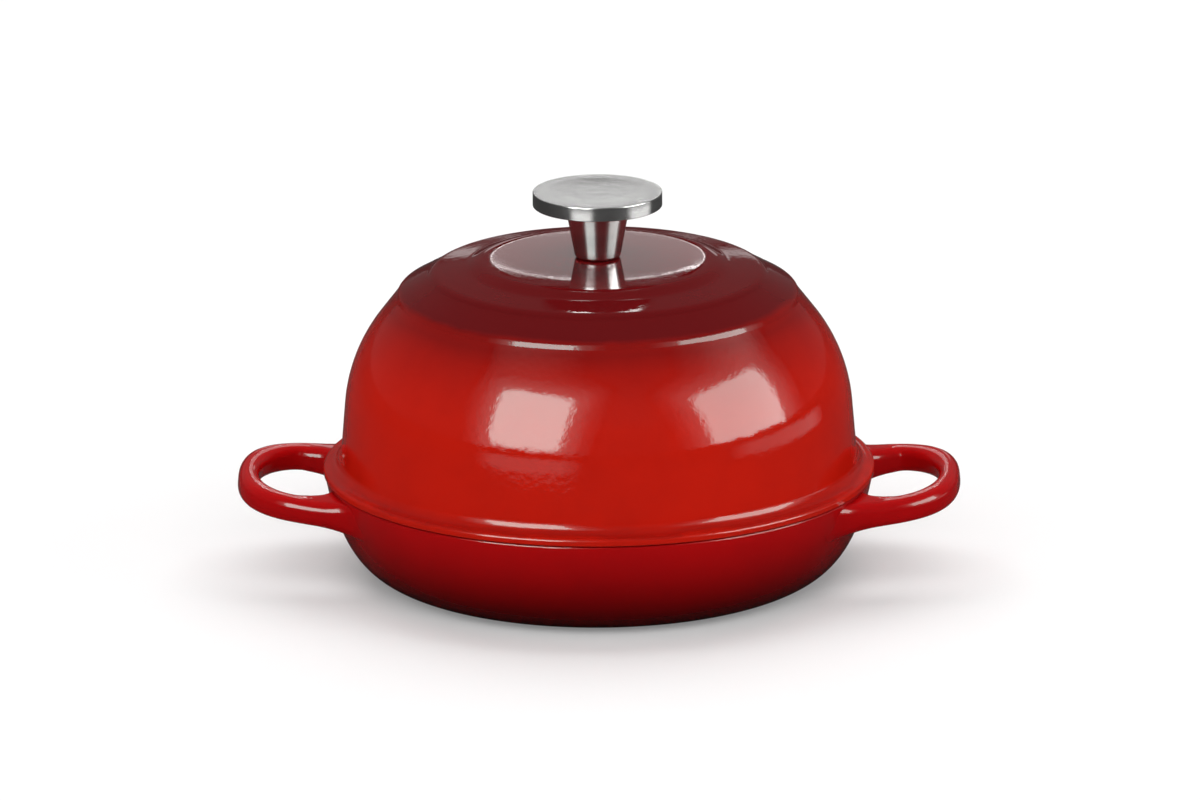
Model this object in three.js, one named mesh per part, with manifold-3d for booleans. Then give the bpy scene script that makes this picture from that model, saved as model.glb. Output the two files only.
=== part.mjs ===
// Cast iron bread oven: a shallow pan with loop handles, a tall domed lid and a bolted steel knob.
// Millimetres, +Z up. The origin is at the centre of the pan's foot, and the handles lie along X.
import * as THREE from "three";
import { mergeVertices } from "three/addons/utils/BufferGeometryUtils.js";
import Module from "manifold-3d";

const wasm = await Module();
wasm.setup();

// Facets: how many round each turned piece and along each curve, and how far those of a rounding stand off it
const castingSides = 52;
const knobSides = 32;
const screwSides = 24;
const panSideFacets = 11;
const handleEdgeFacets = 7;
const handleRoundFacets = 3;
const facetError = 0.12;

// Fits between pieces
const seatGap = 0.3;
const lipClearance = 0.9;
const screwClearance = 0.3;

// Pan
const panHeight = 48;
const panRimRadius = 127.2;
const panWall = 4.5;
const panFloor = 5.5;
const panFootRadius = 95;
const panFootRingWidth = 9;
const panFootRecess = 1.2;
const panFootSweep = 14;
const panFootSweepRise = 3.5;
const panRimLean = 6.7;
const panRimSweep = 35;
const panRimRound = 1.1;
const panFloorFillet = 12;

// Raised rings on the pan's floor, which keep the loaf off the iron
const floorRingCount = 3;
const floorRingFirstRadius = 24;
const floorRingPitch = 22;
const floorRingHeight = 1.2;
const floorRingWidth = 5;
const floorRingLand = 2;

// Loop handles
const handleReach = 40.4;
const handleSpread = 54;
const handleTaper = 4;
const handleShoulder = 7;
const handleNose = 29;
const handleTipBar = 9.7;
const handleThickness = 11.5;
const handleRound = 4.2;
const handleTilt = 5.7;
const handleTipDrop = 3.4;
const handleRootFillet = 11;
const holeSpread = 36.5;
const holeShoulder = 11.9;
const holeNose = 23;
const holeRootFillet = 18.4;

// Lid, heights above its seat
const flangeOverhang = 0.7;
const flangeThickness = 3.5;
const flangeWidth = 7.8;
const flangeEdgeRound = 1.5;
const flangeCoveRadius = 5.4;
const lidWall = 4.4;
const lidDraft = 4.72;
const lidShoulderHeight = 55;
const lidShoulderRadius = 75;
const lidCrownHeight = 102.6;
const crownRadius = 54.7;
const crownFall = 1.1;
const crownEdgeRound = 15;
const crownStepFoot = 60.9;
const crownStepDrop = 4;
const crownFootRound = 11;
const middleTierRadius = 76.6;
const middleTierDrop = 2.4;
const middleEdgeRound = 7;
const middleStepFoot = 78.9;
const middleStepDrop = 2;
const outerTierRadius = 92.4;
const outerTierDrop = 7.6;
const outerEdgeRound = 3.4;
const outerStepFoot = 93.6;
const outerStepDrop = 2.6;
const lipDepth = 4;
const lipTaper = 0.7;

// Knob
const capDiameter = 60;
const capThickness = 6.5;
const capChamfer = 0.4;
const capDishRadius = 24;
const capDishDepth = 0.9;
const stemTopDiameter = 30;
const stemFootDiameter = 21;
const stemHeight = 24.2;
const stemFootRound = 1.6;
const spigotDiameter = 12;
const spigotHeight = 3;

// Screw and washer
const screwDiameter = 6;
const screwReach = 12;
const screwHeadDiameter = 11;
const screwHeadHeight = 3.6;
const screwSlotWidth = 1.6;
const screwSlotDepth = 1.5;
const screwTipChamfer = 1;
const threadRunout = 3;
const washerDiameter = 18;
const washerThickness = 1.4;

// Sizes that follow from the ones above
const flangeRadius = panRimRadius + flangeOverhang;
const lidSeat = panHeight + seatGap;
const lidFootRadius = flangeRadius - flangeWidth;
const handleTip = panRimRadius + handleReach;
const crownTop = lidSeat + lidCrownHeight;
const stemFoot = crownTop + seatGap;
const stemTop = stemFoot + stemHeight;
const capUnderside = stemTop + seatGap;
const boltHoleRadius = screwDiameter / 2 + screwClearance;

const point = (r, z) => new THREE.Vector2(r, z);

// A closed geometry as a solid that can be joined and cut.
function solid(geometry) {
  const bare = geometry.index ? geometry.toNonIndexed() : geometry.clone();
  bare.deleteAttribute("normal");
  bare.deleteAttribute("uv");
  const merged = mergeVertices(bare, 1e-4);
  const corners = merged.index.array;
  const faces = [];
  for (let i = 0; i < corners.length; i += 3) {
    const [a, b, c] = corners.slice(i, i + 3);
    if (a !== b && b !== c && c !== a) faces.push(a, b, c);
  }
  return new wasm.Manifold(
    new wasm.Mesh({
      numProp: 3,
      vertProperties: merged.attributes.position.array,
      triVerts: new Uint32Array(faces),
    }),
  );
}

// The surface of a solid, ready to be drawn.
function surface(body) {
  const mesh = body.getMesh();
  const geometry = new THREE.BufferGeometry();
  geometry.setAttribute("position", new THREE.BufferAttribute(mesh.vertProperties, 3));
  geometry.setIndex(new THREE.BufferAttribute(mesh.triVerts, 1));
  geometry.computeVertexNormals();
  return geometry;
}

// A solid of revolution about Z, from a closed outline of radius and height that runs anticlockwise.
function turned(outline, sides) {
  const closed = [...outline, outline[0]];
  const geometry = new THREE.LatheGeometry(closed, sides);
  geometry.rotateX(Math.PI / 2);
  return solid(geometry);
}

// A line of corners, each with the radius of its rounding: an arc takes the place of every rounded corner.
// Where two arcs would meet on a short side, both shrink to fit and leave a sliver of it straight.
function rounded(corners) {
  const shareForArcs = 0.98;
  const at = corners.map(([r, z]) => point(r, z));
  const last = corners.length - 1;
  const turns = corners.map((corner, i) => {
    const isRounded = i > 0 && i < last && corner[2] > 0;
    if (!isRounded) return 0;
    const before = at[i].clone().sub(at[i - 1]);
    const after = at[i + 1].clone().sub(at[i]);
    return Math.atan2(before.cross(after), before.dot(after));
  });
  const wanted = corners.map(([, , radius = 0], i) => radius * Math.tan(Math.abs(turns[i]) / 2));
  const fit = (i) => Math.min(1, (shareForArcs * at[i].distanceTo(at[i + 1])) / (wanted[i] + wanted[i + 1]));
  const line = [];
  at.forEach((here, i) => {
    if (turns[i] === 0) {
      line.push(here);
      return;
    }
    const run = wanted[i] * Math.min(fit(i - 1), fit(i));
    const arcRadius = run / Math.tan(Math.abs(turns[i]) / 2);
    const along = here.clone().sub(at[i - 1]).normalize();
    const left = point(-along.y, along.x).multiplyScalar(Math.sign(turns[i]) * arcRadius);
    const start = here.clone().addScaledVector(along, -run);
    const centre = start.clone().add(left);
    const facetTurn = 2 * Math.acos(1 - facetError / Math.max(arcRadius, 2 * facetError));
    const steps = Math.ceil(Math.abs(turns[i]) / facetTurn);
    for (let k = 0; k <= steps; k++) line.push(start.clone().rotateAround(centre, (turns[i] * k) / steps));
  });
  return line;
}

// A chain of corners moved sideways by a distance, to the right of the way it runs.
function beside(corners, distance) {
  const shifted = [];
  for (let i = 0; i + 1 < corners.length; i++) {
    const along = corners[i + 1].clone().sub(corners[i]).normalize();
    const right = point(along.y, -along.x).multiplyScalar(distance);
    shifted.push({ start: corners[i].clone().add(right), along });
  }
  const last = corners.length - 1;
  return corners.map((corner, i) => {
    if (i === 0) return shifted[0].start;
    const before = shifted[i - 1];
    if (i === last) return before.start.clone().add(corner.clone().sub(corners[i - 1]));
    const after = shifted[i];
    const gap = after.start.clone().sub(before.start);
    const run = gap.cross(after.along) / before.along.cross(after.along);
    return before.start.clone().addScaledVector(before.along, run);
  });
}

// The pan's outer wall, from the foot to the rim: a flat sweep that turns up into a leaning side.
const panSide = new THREE.CubicBezierCurve(
  point(panFootRadius, 0),
  point(panFootRadius + panFootSweep, panFootSweepRise),
  point(panRimRadius - panRimLean, panHeight - panRimSweep),
  point(panRimRadius, panHeight),
);

// The inside of the pan's wall, one wall thickness in from the outside, above the floor.
function panInsideLine() {
  const line = [];
  for (let i = 0; i <= panSideFacets; i++) {
    const share = i / panSideFacets;
    const along = panSide.getTangent(share);
    const inside = panSide.getPoint(share).add(point(-along.y, along.x).multiplyScalar(panWall));
    if (inside.y > panFloor + panWall && inside.y < panHeight - panWall / 2) line.push(inside);
  }
  return line;
}

// The cavity of the pan as a closed outline, with the raised rings on its floor.
function panCavityOutline() {
  const rings = [];
  for (let i = 0; i < floorRingCount; i++) {
    const middle = floorRingFirstRadius + i * floorRingPitch;
    rings.push(point(middle - floorRingWidth / 2, panFloor));
    rings.push(point(middle - floorRingLand / 2, panFloor + floorRingHeight));
    rings.push(point(middle + floorRingLand / 2, panFloor + floorRingHeight));
    rings.push(point(middle + floorRingWidth / 2, panFloor));
  }
  const side = panInsideLine();
  const lowest = side[0];
  const floorCorner = rounded([
    [lowest.x - panFloorFillet - panWall, panFloor],
    [lowest.x - panWall / 2, panFloor, panFloorFillet],
    [lowest.x, lowest.y],
  ]);
  const mouth = point(panRimRadius - panWall, panHeight);
  const above = point(mouth.x, panHeight + panWall);
  return [point(0, panFloor), ...rings, ...floorCorner, ...side.slice(1), mouth, above, point(0, above.y)];
}

// The pan's outside as a closed outline: a foot ring round a shallow recess, the side and the rim.
function panOutsideOutline() {
  const ringInside = panFootRadius - panFootRingWidth;
  const side = panSide.getPoints(panSideFacets).slice(0, -1);
  const rim = rounded([
    [side[side.length - 1].x, side[side.length - 1].y],
    [panRimRadius, panHeight, panRimRound],
    [panRimRadius - panWall, panHeight],
  ]);
  return [
    point(0, panFootRecess),
    point(ringInside - panFootRecess, panFootRecess),
    point(ringInside, 0),
    ...side,
    ...rim.slice(1),
    point(0, panHeight),
  ];
}

// The place along X where a line at a given half width meets the pan's wall under the rim.
function wallAt(halfWidth) {
  const wallRadius = panRimRadius - panWall / 2;
  return Math.sqrt(wallRadius ** 2 - halfWidth ** 2);
}

// One edge of a handle in plan: from the pan's wall out along an arm, round the tip and back along the other.
// The arms close in by the taper on their way out. The fillet widens the roots, or narrows them below zero.
function handleEdge(path, { tip, spread, taper, shoulder, nose, fillet }) {
  const onWall = spread + fillet;
  const bend = point(wallAt(spread), spread);
  const corner = point(tip - shoulder, spread - taper);
  const arm = corner.clone().sub(bend).setLength(Math.abs(fillet)).add(bend);
  path.moveTo(wallAt(onWall), -onWall);
  path.quadraticCurveTo(bend.x, -bend.y, arm.x, -arm.y);
  path.bezierCurveTo(corner.x, -corner.y, tip, -nose, tip, 0);
  path.bezierCurveTo(tip, nose, corner.x, corner.y, arm.x, arm.y);
  path.quadraticCurveTo(bend.x, bend.y, wallAt(onWall), onWall);
}

// One loop handle at the +X side: a flat loop with rounded edges that rises a little towards its tip.
function handleLoop() {
  const rootHalfWidth = handleSpread + handleRootFillet;
  const rootDepth = wallAt(rootHalfWidth) - 2 * panWall;
  const outline = new THREE.Shape();
  handleEdge(outline, {
    tip: handleTip,
    spread: handleSpread,
    taper: handleTaper,
    shoulder: handleShoulder,
    nose: handleNose,
    fillet: handleRootFillet,
  });
  outline.lineTo(rootDepth, rootHalfWidth);
  outline.lineTo(rootDepth, -rootHalfWidth);
  outline.closePath();
  const hole = new THREE.Path();
  handleEdge(hole, {
    tip: handleTip - handleTipBar,
    spread: holeSpread,
    taper: 0,
    shoulder: holeShoulder,
    nose: holeNose,
    fillet: -holeRootFillet,
  });
  hole.closePath();
  outline.holes.push(hole);
  const loop = new THREE.ExtrudeGeometry(outline, {
    depth: handleThickness - 2 * handleRound,
    bevelThickness: handleRound,
    bevelSize: handleRound,
    bevelOffset: -handleRound,
    bevelSegments: handleRoundFacets,
    curveSegments: handleEdgeFacets,
  });
  loop.translate(-handleTip, 0, handleRound - handleThickness / 2);
  loop.rotateY(-THREE.MathUtils.degToRad(handleTilt));
  loop.translate(handleTip, 0, panHeight - handleTipDrop);
  return loop;
}

function makePan() {
  const right = handleLoop();
  const left = right.clone().rotateZ(Math.PI);
  return turned(panOutsideOutline(), castingSides)
    .add(solid(right))
    .add(solid(left))
    .subtract(turned(panCavityOutline(), castingSides));
}

// The lid's outside from the knob's hole to the flange: crown, two more tiers, shoulder, wall and flange.
const crownFootHeight = lidCrownHeight - crownStepDrop;
const middleHeight = crownFootHeight - middleTierDrop;
const middleFootHeight = middleHeight - middleStepDrop;
const outerHeight = middleFootHeight - outerTierDrop;
const outerFootHeight = outerHeight - outerStepDrop;
const draft = Math.tan(THREE.MathUtils.degToRad(lidDraft));
const shoulderCorner = point(
  lidFootRadius - draft * (lidShoulderHeight - flangeThickness),
  lidShoulderHeight,
);

// The height of the domed crown, which falls with the square of the distance from its middle.
function crownAt(radius) {
  return lidCrownHeight - crownFall * (radius / crownRadius) ** 2;
}

function lidOutsideLine() {
  const halfway = crownRadius / 2;
  return rounded([
    [boltHoleRadius, lidCrownHeight],
    [halfway, crownAt(halfway)],
    [crownRadius, crownAt(crownRadius), crownEdgeRound],
    [crownStepFoot, crownFootHeight, crownFootRound],
    [middleTierRadius, middleHeight, middleEdgeRound],
    [middleStepFoot, middleFootHeight],
    [outerTierRadius, outerHeight, outerEdgeRound],
    [outerStepFoot, outerFootHeight],
    [shoulderCorner.x, shoulderCorner.y, lidShoulderRadius],
    [lidFootRadius, flangeThickness, flangeCoveRadius],
    [flangeRadius, flangeThickness, flangeEdgeRound],
    [flangeRadius, 0, flangeEdgeRound / 2],
    [flangeRadius - flangeWidth, 0],
  ]);
}

// The lid's inside, one wall in from the corners of its main forms, down to the locating lip.
function lidInsideLine() {
  const mainForms = [
    point(boltHoleRadius, lidCrownHeight),
    point(crownRadius, lidCrownHeight),
    point(middleTierRadius, middleHeight),
    point(outerTierRadius, outerHeight),
    shoulderCorner,
    point(lidFootRadius + draft * (flangeThickness + lipDepth), -lipDepth),
  ];
  const inside = beside(mainForms, lidWall);
  const corners = inside.map((corner) => [corner.x, corner.y, lidShoulderRadius - lidWall]);
  const lipInside = inside[inside.length - 1];
  const lipOutside = panRimRadius - panWall - lipClearance;
  return {
    line: rounded(corners).reverse(),
    lip: [
      point(lipOutside, 0),
      point(lipOutside - lipTaper, -lipDepth),
      point(lipInside.x, -lipDepth),
    ],
  };
}

function makeLid() {
  const outside = lidOutsideLine();
  const { line, lip } = lidInsideLine();
  const outline = [...outside.slice(0, -1), ...lip, ...line.slice(1)].reverse();
  return turned(outline, castingSides).translate([0, 0, lidSeat]);
}

function makeStem() {
  const foot = stemFootDiameter / 2;
  const top = stemTopDiameter / 2;
  const spigot = spigotDiameter / 2;
  const threadDepth = screwReach + threadRunout;
  return turned([
    point(0, threadDepth),
    point(boltHoleRadius, threadDepth),
    ...rounded([[boltHoleRadius, 0], [foot, 0, stemFootRound], [top, stemHeight]]),
    point(spigot, stemHeight),
    point(spigot, stemHeight + spigotHeight),
    point(0, stemHeight + spigotHeight),
  ], knobSides).translate([0, 0, stemFoot]);
}

// The cap's top is a shallow dish, whose outline is a parabola in two chords.
function makeCap() {
  const edge = capDiameter / 2;
  const halfWayDepth = 0.75 * capDishDepth;
  const socket = spigotDiameter / 2 + seatGap;
  return turned([
    point(0, spigotHeight),
    point(socket, spigotHeight),
    point(socket, 0),
    point(edge - capChamfer, 0),
    point(edge, capChamfer),
    point(edge, capThickness - capChamfer),
    point(edge - capChamfer, capThickness),
    point(capDishRadius, capThickness),
    point(capDishRadius / 2, capThickness - halfWayDepth),
    point(0, capThickness - capDishDepth),
  ], knobSides).translate([0, 0, capUnderside]);
}

const lidRoof = crownTop - lidWall;
const washerTop = lidRoof - seatGap;
const headTop = washerTop - washerThickness - seatGap;

function makeWasher() {
  return turned([
    point(boltHoleRadius, 0),
    point(washerDiameter / 2, 0),
    point(washerDiameter / 2, washerThickness),
    point(boltHoleRadius, washerThickness),
  ], screwSides).translate([0, 0, washerTop - washerThickness]);
}

function makeScrew() {
  const shank = screwDiameter / 2;
  const head = screwHeadDiameter / 2;
  const shankTop = stemFoot + screwReach - headTop;
  const body = turned([
    ...rounded([[0, -screwHeadHeight], [head, -screwHeadHeight, screwHeadHeight / 2], [head, 0]]),
    point(shank, 0),
    point(shank, shankTop - screwTipChamfer),
    point(shank - screwTipChamfer, shankTop),
    point(0, shankTop),
  ], screwSides);
  const slot = new THREE.BoxGeometry(2 * screwHeadDiameter, screwSlotWidth, 2 * screwSlotDepth);
  slot.translate(0, 0, -screwHeadHeight);
  return body.subtract(solid(slot)).translate([0, 0, headTop]);
}

const redEnamel = { color: 0xb02018, roughness: 0.15, metalness: 0 };
const steel = { color: 0xb8b8b6, roughness: 0.3, metalness: 1 };

const oven = new THREE.Group();

function place(name, body, finish) {
  const mesh = new THREE.Mesh(surface(body), new THREE.MeshStandardMaterial(finish));
  mesh.name = name;
  oven.add(mesh);
}

place("base_pan", makePan(), redEnamel);
place("dome_lid", makeLid(), redEnamel);
place("knob_stem", makeStem(), steel);
place("knob_cap", makeCap(), steel);
place("knob_washer", makeWasher(), steel);
place("knob_screw", makeScrew(), steel);

export default oven;
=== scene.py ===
import math

import bmesh
import bpy
from bpy.props import FloatProperty, FloatVectorProperty, IntProperty, PointerProperty
from mathutils import Matrix, Vector
from mathutils.geometry import interpolate_bezier


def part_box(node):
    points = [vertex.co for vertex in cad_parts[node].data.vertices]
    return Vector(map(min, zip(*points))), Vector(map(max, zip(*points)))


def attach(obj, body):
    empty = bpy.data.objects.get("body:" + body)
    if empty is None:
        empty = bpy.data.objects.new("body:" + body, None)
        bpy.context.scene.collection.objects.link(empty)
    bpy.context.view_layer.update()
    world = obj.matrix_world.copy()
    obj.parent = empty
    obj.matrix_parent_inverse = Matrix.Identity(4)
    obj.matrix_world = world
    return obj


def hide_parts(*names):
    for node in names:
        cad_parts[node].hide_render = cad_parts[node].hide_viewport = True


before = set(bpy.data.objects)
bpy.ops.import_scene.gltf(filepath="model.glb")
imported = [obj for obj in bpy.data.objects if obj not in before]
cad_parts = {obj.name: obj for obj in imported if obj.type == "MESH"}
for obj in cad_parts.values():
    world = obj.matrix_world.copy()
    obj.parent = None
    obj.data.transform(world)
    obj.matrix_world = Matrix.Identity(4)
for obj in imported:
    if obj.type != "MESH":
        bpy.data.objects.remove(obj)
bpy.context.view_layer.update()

bl_info = {
    "name": "Enamelled bread oven",
    "version": (1, 0, 0),
    "blender": (4, 5, 0),
    "location": "3D View > Sidebar > Bread oven",
    "description": "Models and finishes a cast iron bread oven on its packed frame",
    "category": "Object",
}

# Places that the frame gives. The lid's lip reaches down past its seat on the rim.
lip_reach = 0.004
lid_low, lid_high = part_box("dome_lid")
seat_height = lid_low.z + lip_reach
stem_low, stem_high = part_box("knob_stem")
cap_low, cap_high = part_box("knob_cap")
washer_low, washer_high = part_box("knob_washer")
screw_low, screw_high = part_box("knob_screw")

# How finely the pieces are drawn: lengths in metres, angles in degrees, and counts of points or steps
profile_step = 0.003
arc_step = 6
sharp_angle = 40
weld_gap = 1e-6
same_place = 1e-5
casting_steps = 192
cap_steps = 128
stem_steps = 96
fixing_steps = 64
pan_side_points = 29
floor_fillet_points = 12
handle_root_points = 9
handle_arm_points = 28
handle_round_steps = 8
crown_points = 10
dish_points = 8
studio_disc_sides = 96


# Settings

def length(name, default, description):
    """A setting that holds a length in metres."""
    return FloatProperty(name=name, description=description, default=default, precision=5, unit="LENGTH")


def angle(name, degrees, description):
    """A setting that holds an angle."""
    return FloatProperty(
        name=name, description=description, default=math.radians(degrees), subtype="ANGLE", unit="ROTATION"
    )


def colour(name, default, description):
    """A setting that holds a linear colour."""
    return FloatVectorProperty(
        name=name, description=description, default=default, size=3, min=0, max=1, subtype="COLOR"
    )


def brightness(name, default, description):
    """A setting that holds a grey or a glow, where 1 is white."""
    return FloatProperty(name=name, description=description, default=default, min=0, max=1)


class PanSizes(bpy.types.PropertyGroup):
    """Sizes of the pan's casting and its loop handles."""

    height: length("Height", 0.048, "Height of the rim above the foot")
    rim_radius: length("Rim radius", 0.1272, "Outer radius of the rim")
    wall: length("Wall", 0.0045, "Thickness of the wall")
    floor: length("Floor", 0.0055, "Height of the inside floor")
    foot_radius: length("Foot radius", 0.095, "Outer radius of the flat foot ring")
    foot_ring: length("Foot ring", 0.009, "Width of the foot ring")
    foot_recess: length("Foot recess", 0.0012, "Depth of the recess inside the foot ring")
    foot_sweep: length("Foot sweep", 0.014, "Pull of the curve where the side leaves the foot")
    foot_sweep_rise: length("Foot sweep rise", 0.0035, "Rise of that pull")
    rim_lean: length("Rim lean", 0.0067, "How far the side leans out under the rim")
    rim_sweep: length("Rim sweep", 0.035, "Pull of the curve where the side reaches the rim")
    rim_round: length("Rim rounding", 0.0011, "Rounding of the rim's edges")
    floor_fillet: length("Floor fillet", 0.014, "Reach of the fillet between the floor and the side")
    ring_count: IntProperty(name="Floor rings", description="Raised rings on the floor", default=3)
    ring_first: length("First ring", 0.024, "Radius of the smallest floor ring")
    ring_pitch: length("Ring pitch", 0.022, "Step in radius from ring to ring")
    ring_height: length("Ring height", 0.0012, "Height of a floor ring")
    ring_width: length("Ring width", 0.005, "Width of a floor ring at its foot")
    ring_land: length("Ring land", 0.002, "Width of a floor ring at its top")
    handle_reach: length("Handle reach", 0.0404, "How far a handle stands out from the rim")
    handle_spread: length("Handle spread", 0.054, "Half of a handle's width across its arms at the wall")
    handle_taper: length("Handle taper", 0.004, "How far each arm closes in towards the tip")
    handle_shoulder: length("Handle shoulder", 0.007, "Pull of the handle's outer corner along the arm")
    handle_nose: length("Handle nose", 0.029, "Pull of the handle's outer corner along the tip")
    hole_spread: length("Hole spread", 0.0365, "Half of the width of a handle's hole")
    hole_shoulder: length("Hole shoulder", 0.0119, "Pull of the hole's corner along the arm")
    hole_nose: length("Hole nose", 0.023, "Pull of the hole's corner along the tip")
    handle_tip_bar: length("Tip bar", 0.0097, "Width of the bar at the tip")
    handle_thickness: length("Handle thickness", 0.0115, "Height of the handle's bar")
    handle_round: length("Handle rounding", 0.0044, "Rounding of the bar's edges")
    handle_fillet: length("Outer root fillet", 0.011, "Fillet in plan outside an arm's root")
    hole_fillet: length("Inner root fillet", 0.0184, "Fillet in plan inside an arm's root")
    root_bury: length("Root bury", 0.0012, "How deep the end of a root lies in the wall")
    root_reach: length("Root reach", 0.02, "How far from the wall a root begins to swell")
    root_swell: length("Root swell", 0.0028, "How far a root swells down the wall")
    root_lean: length("Root lean", 0.0036, "How far a root's underside follows the wall inwards")
    handle_tip_drop: length("Tip drop", 0.0034, "Drop of the tip's middle below the rim")
    handle_tilt: angle("Handle tilt", 5.7, "Rise of a handle towards its tip")


class LidSizes(bpy.types.PropertyGroup):
    """Sizes of the lid's casting, with heights above the seat on the rim."""

    seat: length("Seat height", seat_height, "Height of the seat above the foot")
    flange_radius: length("Flange radius", lid_high.x, "Outer radius of the flange")
    flange_width: length("Flange width", 0.0078, "Width of the flange outside the wall")
    flange_thickness: length("Flange thickness", 0.0035, "Height of the flange")
    flange_round: length("Flange rounding", 0.0015, "Rounding of the flange's top edge")
    cove: length("Cove", 0.0054, "Radius of the cove between flange and wall")
    wall: length("Wall", 0.0044, "Thickness of the wall")
    draft: angle("Draft", 4.72, "Lean of the wall")
    shoulder_height: length("Shoulder height", 0.055, "Height where wall and shoulder would meet")
    shoulder_radius: length("Shoulder radius", 0.075, "Radius of the bend from wall to shoulder")
    crown_height: length("Crown height", 0.1026, "Height of the crown")
    crown_radius: length("Crown radius", 0.0547, "Radius of the crown's edge")
    crown_fall: length("Crown fall", 0.0011, "How much lower the domed crown's edge lies than its middle")
    crown_round: length("Crown rounding", 0.015, "Rounding of the crown's edge")
    crown_foot: length("Crown foot", 0.0609, "Radius at the foot of the crown's step")
    crown_drop: length("Crown drop", 0.004, "Height of the crown's step")
    crown_foot_round: length("Crown foot rounding", 0.011, "Rounding at the foot of the crown's step")
    middle_radius: length("Middle tier radius", 0.0766, "Radius of the middle tier's edge")
    middle_fall: length("Middle tier fall", 0.0024, "Fall across the middle tier")
    middle_round: length("Middle rounding", 0.007, "Rounding of the middle tier's edge")
    middle_foot: length("Middle foot", 0.0789, "Radius at the foot of the middle step")
    middle_drop: length("Middle drop", 0.002, "Height of the middle step")
    outer_radius: length("Outer tier radius", 0.0924, "Radius of the outer tier's edge")
    outer_fall: length("Outer tier fall", 0.0076, "Fall across the outer tier")
    outer_round: length("Outer rounding", 0.0034, "Rounding of the outer tier's edge")
    outer_foot: length("Outer foot", 0.0936, "Radius at the foot of the outer step")
    outer_drop: length("Outer drop", 0.0026, "Height of the outer step")
    bolt_hole: length("Bolt hole", 0.0033, "Radius of the hole for the knob's screw")
    lip_radius: length("Lip radius", 0.1218, "Outer radius of the locating lip")
    lip_depth: length("Lip depth", lip_reach, "How far the lip goes down into the pan")
    lip_taper: length("Lip taper", 0.0007, "Taper of the lip")


class KnobSizes(bpy.types.PropertyGroup):
    """Sizes of the knob and of the screw and washer that hold it."""

    cap_chamfer: length("Cap edge", 0.0003, "Rounding of the cap's edges")
    cap_dish: length("Dish radius", 0.024, "Radius of the dish in the cap's top")
    cap_dish_depth: length("Dish depth", 0.0005, "Depth of the dish")
    spigot: length("Spigot radius", 0.006, "Radius of the stem's spigot in the cap")
    spigot_height: length("Spigot height", 0.003, "Height of the spigot")
    spigot_gap: length("Spigot gap", 0.0003, "Gap round the spigot")
    stem_foot: length("Stem foot radius", 0.0105, "Radius of the stem at its foot")
    stem_round: length("Stem foot rounding", 0.0016, "Rounding of the stem's foot")
    thread_radius: length("Thread hole radius", 0.0033, "Radius of the hole for the screw")
    thread_depth: length("Thread hole depth", 0.015, "Depth of that hole")
    washer_edge: length("Washer edge", 0.0002, "Rounding of the washer's edges")
    shank: length("Shank radius", 0.003, "Radius of the screw's shank")
    head_height: length("Head height", 0.0036, "Height of the screw's head")
    head_round: length("Head rounding", 0.0018, "Rounding of the head's edge")
    slot_width: length("Slot width", 0.0016, "Width of the screw's slot")
    slot_depth: length("Slot depth", 0.0015, "Depth of the screw's slot")


class FinishSettings(bpy.types.PropertyGroup):
    """Colours of the enamel, some of them holding painted shade, and the metal."""

    bright_red: colour("Bright red", (0.53, 0.011, 0.004), "Enamel at the middle of the dome")
    # The deep red is partly the enamel's own and partly painted shade on the tiers and in the cove
    deep_red_and_shade: colour("Deep red", (0.113, 0.004, 0.005), "Enamel on the tiers")
    pan_red: colour("Pan red", (0.4, 0.003, 0.004), "Enamel under the pan's rim")
    # The foot red is painted shade, for the pan darkening towards its foot
    shaded_foot_red: colour("Foot red", (0.03, 0.0005, 0.001), "Enamel at the pan's foot")
    inside_black: colour("Inside black", (0.012, 0.011, 0.011), "Matt enamel inside")
    steel: colour("Steel", (0.66, 0.655, 0.645), "Brushed steel of the knob")
    zinc: colour("Zinc", (0.5, 0.51, 0.53), "Plated screw and washer")


class StageSettings(bpy.types.PropertyGroup):
    """Camera and surroundings of the studio."""

    elevation: angle("Camera elevation", 16.0, "How far the camera looks down")
    azimuth: angle("Camera azimuth", 1.5, "How far the camera stands round to the right")
    roll: angle("Camera roll", 0.33, "Tilt of the camera about its own axis")
    distance: length("Camera distance", 9.28, "Distance from the camera to the oven's axis")
    frame_width: length("Frame width", 0.5566, "Width of the picture at that distance")
    aim: FloatVectorProperty(
        name="Aim", description="Point at the middle of the picture",
        default=(0.00065, 0, 0.0818), subtype="TRANSLATION", unit="LENGTH",
    )
    floor_radius: length("Floor radius", 6.0, "Radius of the studio floor")
    floor_grey: brightness("Floor grey", 0.68, "Grey of the floor's surface")
    floor_glow: brightness("Floor glow", 0.2, "White that the floor shows of itself")
    card_radius: length("Card radius", 1.2, "Radius of the dark card under the oven")
    card_height: length("Card height", 0.17, "Height of the dark card's rim")
    card_grey: brightness("Card grey", 0.05, "Grey of the dark card")
    room: brightness("Room", 0.12, "Brightness of the room above the horizon")


# Drawing a profile and turning it round the axis

def new_point(name, where):
    """A new piece that is one selected point, open for editing."""
    bpy.ops.object.select_all(action="DESELECT")
    bpy.ops.mesh.primitive_plane_add()
    piece = bpy.context.object
    piece.name = name
    piece.data.name = name
    bpy.ops.object.mode_set(mode="EDIT")
    bpy.ops.mesh.select_mode(type="VERT")
    bpy.ops.mesh.select_all(action="SELECT")
    bpy.ops.mesh.merge(type="CENTER")
    bpy.ops.transform.translate(value=where)
    return piece


def extrude(move):
    """Extrudes what is selected by a move."""
    bpy.ops.mesh.extrude_region_move(TRANSFORM_OT_translate={"value": move})


def draw_line(here, there):
    """Extrudes the selected point in a straight line, in steps short enough for even shading."""
    count = max(1, math.ceil((there - here).length / profile_step))
    move = (there - here) / count
    for _ in range(count):
        extrude((move.x, 0, move.y))


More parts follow.
